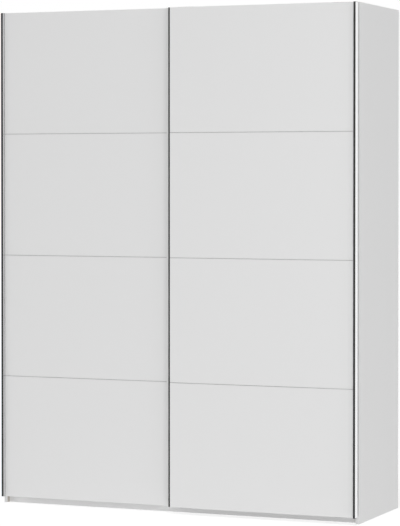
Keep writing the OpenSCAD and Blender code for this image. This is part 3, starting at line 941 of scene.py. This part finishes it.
@dataclass
class SlidingDoor:
    """One sliding door with its panels, profiles, joint strips and stiffening rails."""

    door: Door
    panels: int = 4
    fin: float = 10.5 * MM
    proud: float = 15.5 * MM
    wall: float = 1.6 * MM
    groove: float = 1.5 * MM
    groove_floor: float = 2 * MM
    stile: float = 8 * MM
    lip: float = 2 * MM
    panel_edge: float = 0.5 * MM
    grip_edge: float = 0.35 * MM
    stile_edge: float = 0.3 * MM
    lip_edge: float = 0.4 * MM
    joint_edge: float = 0.15 * MM
    rail_edge: float = 0.3 * MM
    name: str = field(init=False)
    face: float = field(init=False)
    back: float = field(init=False)
    grip_back: float = field(init=False)
    low: float = field(init=False)
    high: float = field(init=False)
    outer: float = field(init=False)
    inner: float = field(init=False)

    def __post_init__(self) -> None:
        """Works out the door's name and where it stands."""
        self.name = "rear_door" if self.door is Door.REAR else "front_door"
        grip_low, grip_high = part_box(self.name + "_grip")
        panel_low, panel_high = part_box(self.name + "_panel_1")
        self.face = panel_low.y
        self.back = panel_high.y
        self.grip_back = grip_high.y
        self.low, self.high = (corner.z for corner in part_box(self.name + "_stile"))
        self.outer = grip_low.x if self.door is Door.REAR else grip_high.x
        self.inner = panel_high.x if self.door is Door.REAR else panel_low.x

    def at(self, u: float, v: float) -> tuple[float, float]:
        """X and Y of a point u in from the grip end and v behind the front face."""
        return self.outer + self.door.value * u, self.face + v

    def build(self) -> None:
        """Builds the whole door."""
        for number in range(1, self.panels + 1):
            self.panel(number)
        self.grip()
        self.inner_profile()
        self.joints()
        for part in ("top_rail", "bottom_rail"):
            low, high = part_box(f"{self.name}_{part}")
            work = Workpiece()
            work.block(low, high, self.rail_edge)
            work.done(f"{self.name}_{part}_bar", self.name, (ALU_ACROSS,),
                      [f"{self.name}_{part}"])

    def panel(self, number: int) -> None:
        """Builds one panel, with rebates for the stiffening rails.

        Args:
            number: 1 to 4, counted from the bottom.
        """
        node = f"{self.name}_panel_{number}"
        low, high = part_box(node)
        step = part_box(self.name + "_top_rail")[0].y
        outline = [(low.y, low.z), (high.y, low.z), (high.y, high.z), (low.y, high.z)]
        if number == 1:
            rail_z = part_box(self.name + "_bottom_rail")[1].z
            outline[1:2] = [(step, low.z), (step, rail_z), (high.y, rail_z)]
        elif number == self.panels:
            rail_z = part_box(self.name + "_top_rail")[0].z
            outline[2:3] = [(high.y, rail_z), (step, rail_z), (step, high.z)]
        work = Workpiece()
        work.lay(outline, low.x, high.x, self.panel_edge)
        work.done(node + "_board", self.name, (WHITE,), [node])

    def grip(self) -> None:
        """Extrudes the hollow fin with the floor of its shadow groove."""
        back = self.grip_back - self.face
        u1, u2 = self.fin, self.fin + self.groove
        outer = [self.at(*p) for p in (
            (0, -self.proud), (u1, -self.proud), (u1, self.groove_floor), (u2, self.groove_floor),
            (u2, back), (0, back))]
        w = self.wall
        hollow = [self.at(*p) for p in (
            (w, w - self.proud), (u1 - w, w - self.proud), (u1 - w, back - w), (w, back - w))]
        low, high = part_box(self.name + "_grip")
        work = Workpiece()
        work.extrude(outer, [hollow], low.z, high.z, self.grip_edge)
        work.done(self.name + "_grip_profile", self.name, (ALU_UP,),
                  [self.name + "_grip"])
        dress(self.name + "_end_caps", CAP_GREY)

    def inner_profile(self) -> None:
        """Extrudes the profile at the inner end, and the front door's dust lip."""
        thick = self.back - self.face
        start = self.door.value * (self.inner - self.outer)
        end = start + self.stile
        w = self.wall
        outer = [self.at(*p) for p in ((start, 0), (end, 0), (end, thick), (start, thick))]
        hollow = [self.at(*p) for p in (
            (start + w, w), (end - w, w), (end - w, thick - w), (start + w, thick - w))]
        work = Workpiece()
        work.extrude(outer, [hollow], self.low, self.high, self.stile_edge)
        work.done(self.name + "_inner_profile", self.name, (ALU_UP,),
                  [self.name + "_stile"])
        if self.door is Door.FRONT:
            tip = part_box(self.name + "_stile")[0].x
            x_end = self.at(end, 0)[0]
            lip = Workpiece()
            lip.block((tip, self.back - self.lip, self.low), (x_end, self.back, self.high),
                      self.lip_edge)
            lip.done(self.name + "_dust_lip", self.name, (WHITE_PLASTIC,))

    def joints(self) -> None:
        """Builds the recessed strips between the panels."""
        low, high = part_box(self.name + "_joint_strips")
        work = Workpiece()
        for number in range(1, self.panels):
            z0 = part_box(f"{self.name}_panel_{number}")[1].z
            z1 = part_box(f"{self.name}_panel_{number + 1}")[0].z
            work.block((low.x, low.y, z0), (high.x, high.y, z1), self.joint_edge, 1)
        work.done(self.name + "_joints", self.name, (JOINT_GREY,),
                  [self.name + "_joint_strips"])


@dataclass
class DoorFittings:
    """Hangers, guides, brush and wheels, whose CAD shapes stay, and the doors' screws."""

    zinc: tuple[str, ...] = (
        "rear_door_hangers", "front_door_hanger_plates", "front_door_hanger_arms",
        "front_door_wheel_carriers", "front_door_guide_plates", "front_door_guide_arms")
    nylon: tuple[str, ...] = (
        "rear_door_guides", "front_door_guide_shoes", "rear_wheel_left", "rear_wheel_right",
        "front_wheel_left", "front_wheel_right")

    def build(self) -> None:
        """Dresses every fitting and makes the screws."""
        for node in self.zinc:
            dress(node, ZINC)
        for node in self.nylon:
            dress(node, NYLON)
        dress("rear_door_brush", PILE)
        for door in ("rear_door", "front_door"):
            screws(door + "_screws", door, Vector((0, 1, 0)))


# ---------------------------------------------------------------- studio


class LampKind(Enum):
    """The kinds of lamp in the studio."""

    SUN = "SUN"
    AREA = "AREA"


@dataclass(frozen=True)
class Lamp:
    """One lamp, which the camera doesn't see.

    The size is an area lamp's width, or a sun's angle in radians.  Only an area lamp has a
    height.
    """

    name: str
    kind: LampKind
    place: Point
    aim: Point
    energy: float
    size: float
    height: float = 0.0

    def hang(self) -> None:
        """Hangs the lamp."""
        data = bpy.data.lights.new(self.name, self.kind.value)
        data.energy = self.energy
        if self.kind is LampKind.SUN:
            data.angle = self.size
        else:
            data.shape = "RECTANGLE"
            data.size = self.size
            data.size_y = self.height
        lamp = bpy.data.objects.new(self.name, data)
        lamp.visible_camera = False
        lamp.location = self.place
        lamp.rotation_mode = "QUATERNION"
        lamp.rotation_quaternion = (Vector(self.aim) - Vector(self.place)).to_track_quat("-Z", "Y")
        bpy.context.scene.collection.objects.link(lamp)


@dataclass(frozen=True)
class SkyPatch:
    """A soft-edged round patch of the sky on the horizon.

    The azimuth is in degrees from the front, positive to the right.  The width is half the
    patch's width in degrees, of which the core is even.
    """

    azimuth: float
    width: float
    core: float = 0.55

    def level(self, desk: Desk, way: Flow) -> Flow:
        """How much of the patch shows.

        Args:
            desk: The sky's desk.
            way: The direction looked at.

        Returns:
            1 inside the patch and 0 outside.
        """
        turn, half = math.radians(self.azimuth), math.radians(self.width)
        level = desk.node("ShaderNodeVectorMath", {"operation": "DOT_PRODUCT"},
                          {0: way, 1: (math.sin(turn), -math.cos(turn), 0.0)}, out="Value")
        return desk.spread(level, math.cos(half), math.cos(half * self.core))


@dataclass
class Studio:
    """Floor, light and camera."""

    floor_radius: float = 40.0
    floor_drop: float = 0.5 * MM
    floor_facets: int = 96
    front_sky: float = 0.53
    side_sky: float = 0.25
    sky_fade: tuple[float, float] = (-0.1, 0.9)
    card: SkyPatch = SkyPatch(157.0, 32.0)
    card_sky: float = 1.0
    dark: SkyPatch = SkyPatch(-26.0, 40.0)
    dark_sky: float = 0.045
    lamps: tuple[Lamp, ...] = (
        Lamp("overhead", LampKind.SUN, (0, -1.5, 6), (0, 0, 0), 0.9, math.radians(25)),
        Lamp("key", LampKind.AREA, (2.2, -3.6, 2.3), (0.6, 0, 1.9), 16.0, 1.0, 2.6))
    eye: Point = (4.281, -10.128, 1.571)
    turn: float = math.radians(22.833)
    tip: float = math.radians(1.077)
    lens: float = 158.2
    sensor: float = 36.0
    shift: float = -43.0 / 526.0

    def build(self) -> None:
        """Sets up the studio."""
        self.lay_floor()
        self.light_sky()
        for lamp in self.lamps:
            lamp.hang()
        self.stand_camera()
        bpy.context.scene.view_settings.view_transform = "Standard"

    def lay_floor(self) -> None:
        """Lays a round pale floor."""
        bm = bmesh.new()
        bmesh.ops.create_circle(bm, cap_ends=True, radius=self.floor_radius,
                                segments=self.floor_facets)
        bmesh.ops.translate(bm, vec=(0, 0, -self.floor_drop), verts=bm.verts)
        mesh = bpy.data.meshes.new("studio_floor")
        bm.to_mesh(mesh)
        bm.free()
        mesh.materials.append(PaleFloor().material())
        floor = bpy.data.objects.new("studio_floor", mesh)
        floor.visible_glossy = False
        bpy.context.scene.collection.objects.link(floor)

    def light_sky(self) -> None:
        """Makes a pale sky with a bright card and one dark side, which the metal mirrors."""
        world = bpy.data.worlds.new("studio_sky")
        bpy.context.scene.world = world
        world.use_nodes = True
        desk = Desk(world.node_tree)
        way = desk.node("ShaderNodeTexCoord", out="Generated")
        dark = self.dark.level(desk, way)
        card = self.card.level(desk, way)
        ahead = desk.node("ShaderNodeVectorMath", {"operation": "DOT_PRODUCT"},
                          {0: way, 1: (0.0, -1.0, 0.0)}, out="Value")
        sky = desk.spread(ahead, *self.sky_fade, (self.side_sky, self.front_sky))
        lit = sky * (1.0 - card) + self.card_sky * card
        tone = lit * (1.0 - dark) + self.dark_sky * dark
        seen = desk.node("ShaderNodeLightPath", out="Is Camera Ray")
        shade = desk.node("ShaderNodeBackground", {}, {"Color": (1, 1, 1, 1), "Strength": tone})
        plain = desk.node("ShaderNodeBackground", {}, {"Color": (1, 1, 1, 1), "Strength": 1.0})
        both = desk.node("ShaderNodeMixShader", {}, {0: seen, 1: shade, 2: plain})
        desk.node("ShaderNodeOutputWorld", {}, {"Surface": both})

    def stand_camera(self) -> None:
        """Stands the camera to the right of the front, at eye height."""
        data = bpy.data.cameras.new("camera")
        data.sensor_fit = "AUTO"
        data.sensor_width = self.sensor
        data.lens = self.lens
        data.shift_y = self.shift
        camera = bpy.data.objects.new("camera", data)
        camera.location = self.eye
        camera.rotation_euler = (math.pi / 2 - self.tip, 0.0, self.turn)
        bpy.context.scene.collection.objects.link(camera)
        bpy.context.scene.camera = camera


# ---------------------------------------------------------------- assembly


def main() -> None:
    """Builds the wardrobe and its studio in order."""
    logging.basicConfig(level=logging.INFO, format="%(name)s: %(message)s")
    Studio().build()
    Carcass().build()
    Back().build()
    Interior().build()
    RunningGear().build()
    SlidingDoor(Door.REAR).build()
    SlidingDoor(Door.FRONT).build()
    DoorFittings().build()


if __name__ == "__main__":
    main()
